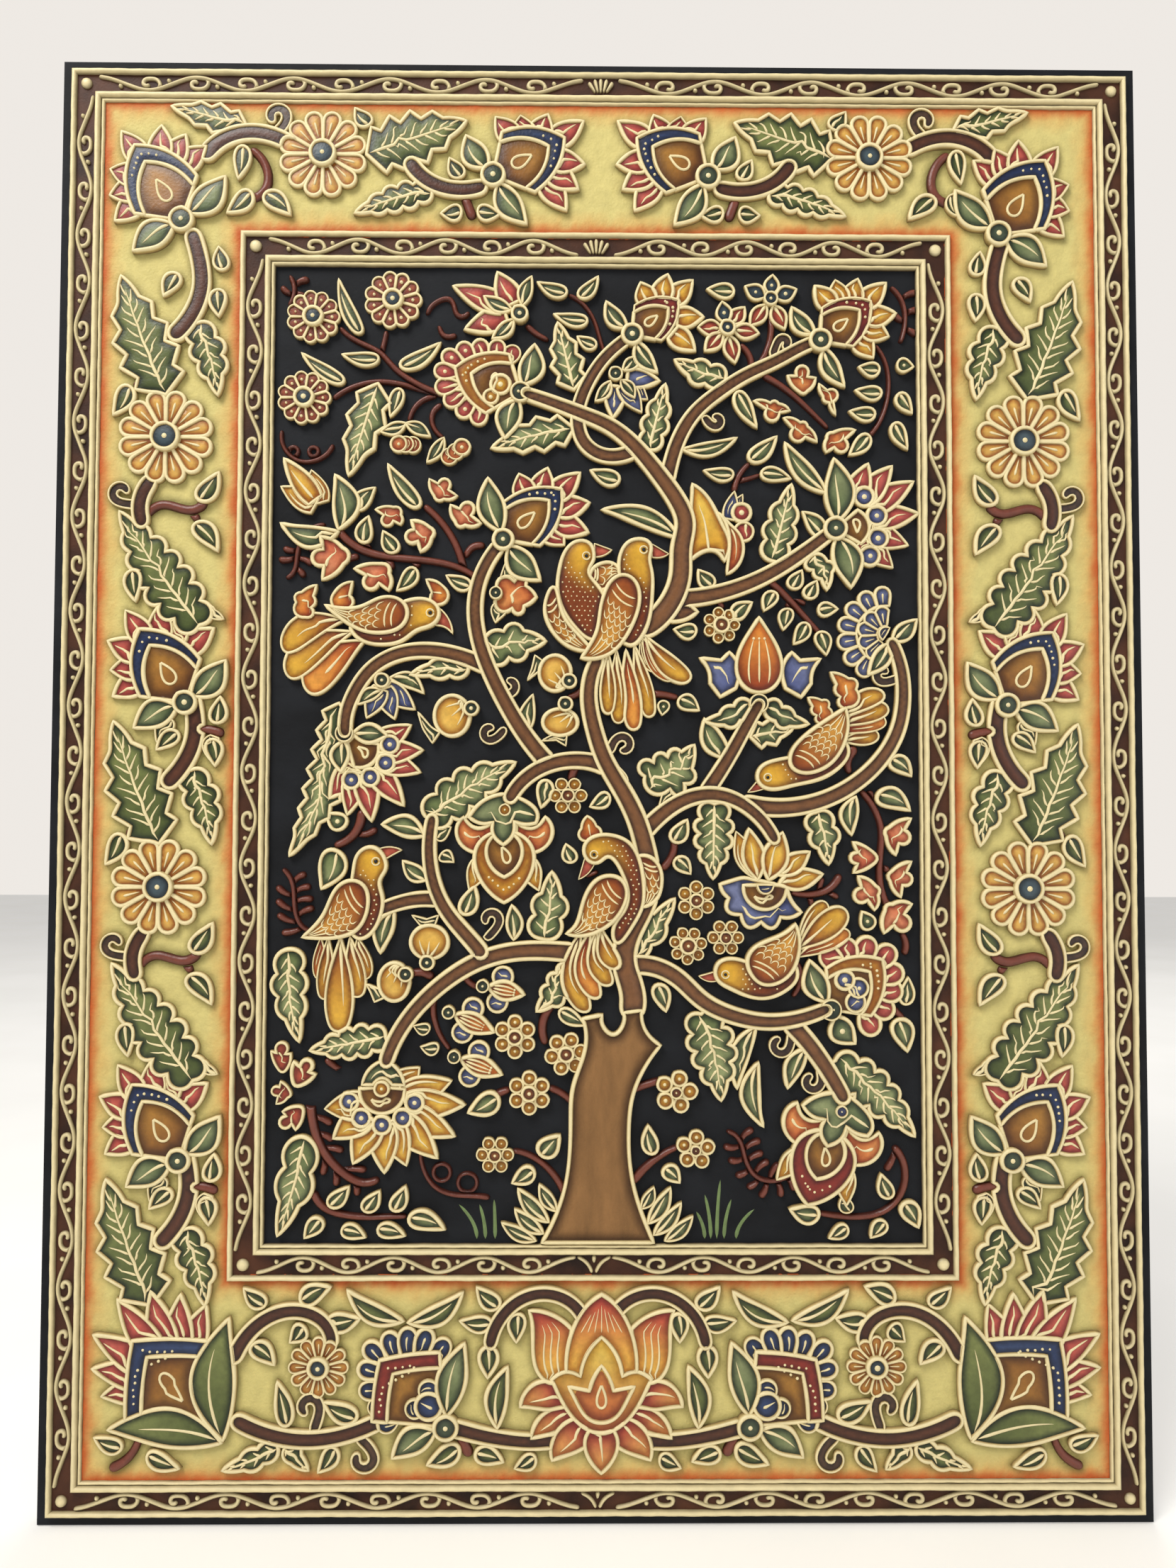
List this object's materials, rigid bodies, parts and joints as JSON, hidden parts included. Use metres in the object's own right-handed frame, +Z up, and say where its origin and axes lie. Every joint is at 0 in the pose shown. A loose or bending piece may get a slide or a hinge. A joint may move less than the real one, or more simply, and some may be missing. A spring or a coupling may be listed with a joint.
{
  "type": "clay tree of life",
  "caption": "Rectangular wall panel with a hand-piped clay relief of a tree with birds and flowers inside two ornamental frames, hung by two swinging D-rings.",
  "frame": {"origin": "middle of the board's flat back face", "axes": "+Z up the panel, +X to the viewer's right seen from the front, +Y out of the back towards the wall; the relief faces -Y"},
  "size_m": [0.457, 0.0219, 0.61],
  "materials": {
    "board": "charcoal paint over a sawn board",
    "cream_clay": "painted air-dried clay, satin",
    "brown_clay": "painted air-dried clay, satin",
    "trunk_clay": "painted air-dried clay, satin",
    "margin_clay": "painted air-dried clay, brushed",
    "green_clay": "painted air-dried clay, satin",
    "red_clay": "painted air-dried clay, satin",
    "ochre_clay": "painted air-dried clay, satin",
    "blue_clay": "painted air-dried clay, satin",
    "bird_clay": "painted air-dried clay, satin",
    "steel": "zinc plated"
  },
  "bodies": {
    "panel": {"back_dove": "bird_clay", "backing_board": "board", "bells": "red_clay", "blue_petals": "blue_clay", "bosses": "green_clay", "branches": "brown_clay", "broad_leaves": "green_clay", "crested_bird": "bird_clay", "curls": "brown_clay", "diving_bird": "bird_clay", "flower_bands": "ochre_clay", "flower_centres": "ochre_clay", "flower_hearts": "ochre_clay", "front_dove": "bird_clay", "hanger_screws": "steel", "hanger_straps": "steel", "inner_band": "brown_clay", "inner_moulding": "cream_clay", "inner_rim": "cream_clay", "inner_scrollwork": "cream_clay", "leaves": "green_clay", "long_leaves": "green_clay", "margin_bosses": "green_clay", "margin_broad_leaves": "green_clay", "margin_curls": "brown_clay", "margin_daisy_centres": "blue_clay", "margin_daisy_petals": "ochre_clay", "margin_ground": "margin_clay", "margin_leaves": "green_clay", "margin_lotus_bands": "blue_clay", "margin_lotus_hearts": "ochre_clay", "margin_lotus_petals": "red_clay", "margin_navy_petals": "blue_clay", "margin_red_petals": "red_clay", "margin_sepals": "green_clay", "margin_stems": "brown_clay", "margin_twigs": "brown_clay", "margin_yellow_petals": "ochre_clay", "orange_petals": "ochre_clay", "outer_band": "brown_clay", "outer_moulding": "cream_clay", "outer_rim": "cream_clay", "outer_scrollwork": "cream_clay", "perched_bird": "bird_clay", "pomegranates": "ochre_clay", "red_daisies": "red_clay", "red_petals": "red_clay", "round_flowers": "ochre_clay", "sepals": "green_clay", "small_hearts": "blue_clay", "standing_bird": "bird_clay", "star_flowers": "red_clay", "striped_petals": "ochre_clay", "tree_trunk": "trunk_clay", "turning_bird": "bird_clay", "twigs": "brown_clay", "yellow_petals": "ochre_clay"},
    "left_ring": {"left_ring": "steel"},
    "right_ring": {"right_ring": "steel"}
  },
  "joints": [
    {"name": "left_ring_hinge", "type": "hinge", "parent": "panel", "child": "left_ring", "pos_m": [-0.15, 0.00235, 0.236], "axis": [1, 0, 0], "range_deg": [0, 175]},
    {"name": "right_ring_hinge", "type": "hinge", "parent": "panel", "child": "right_ring", "pos_m": [0.15, 0.00235, 0.236], "axis": [1, 0, 0], "range_deg": [0, 175]}
  ]
}
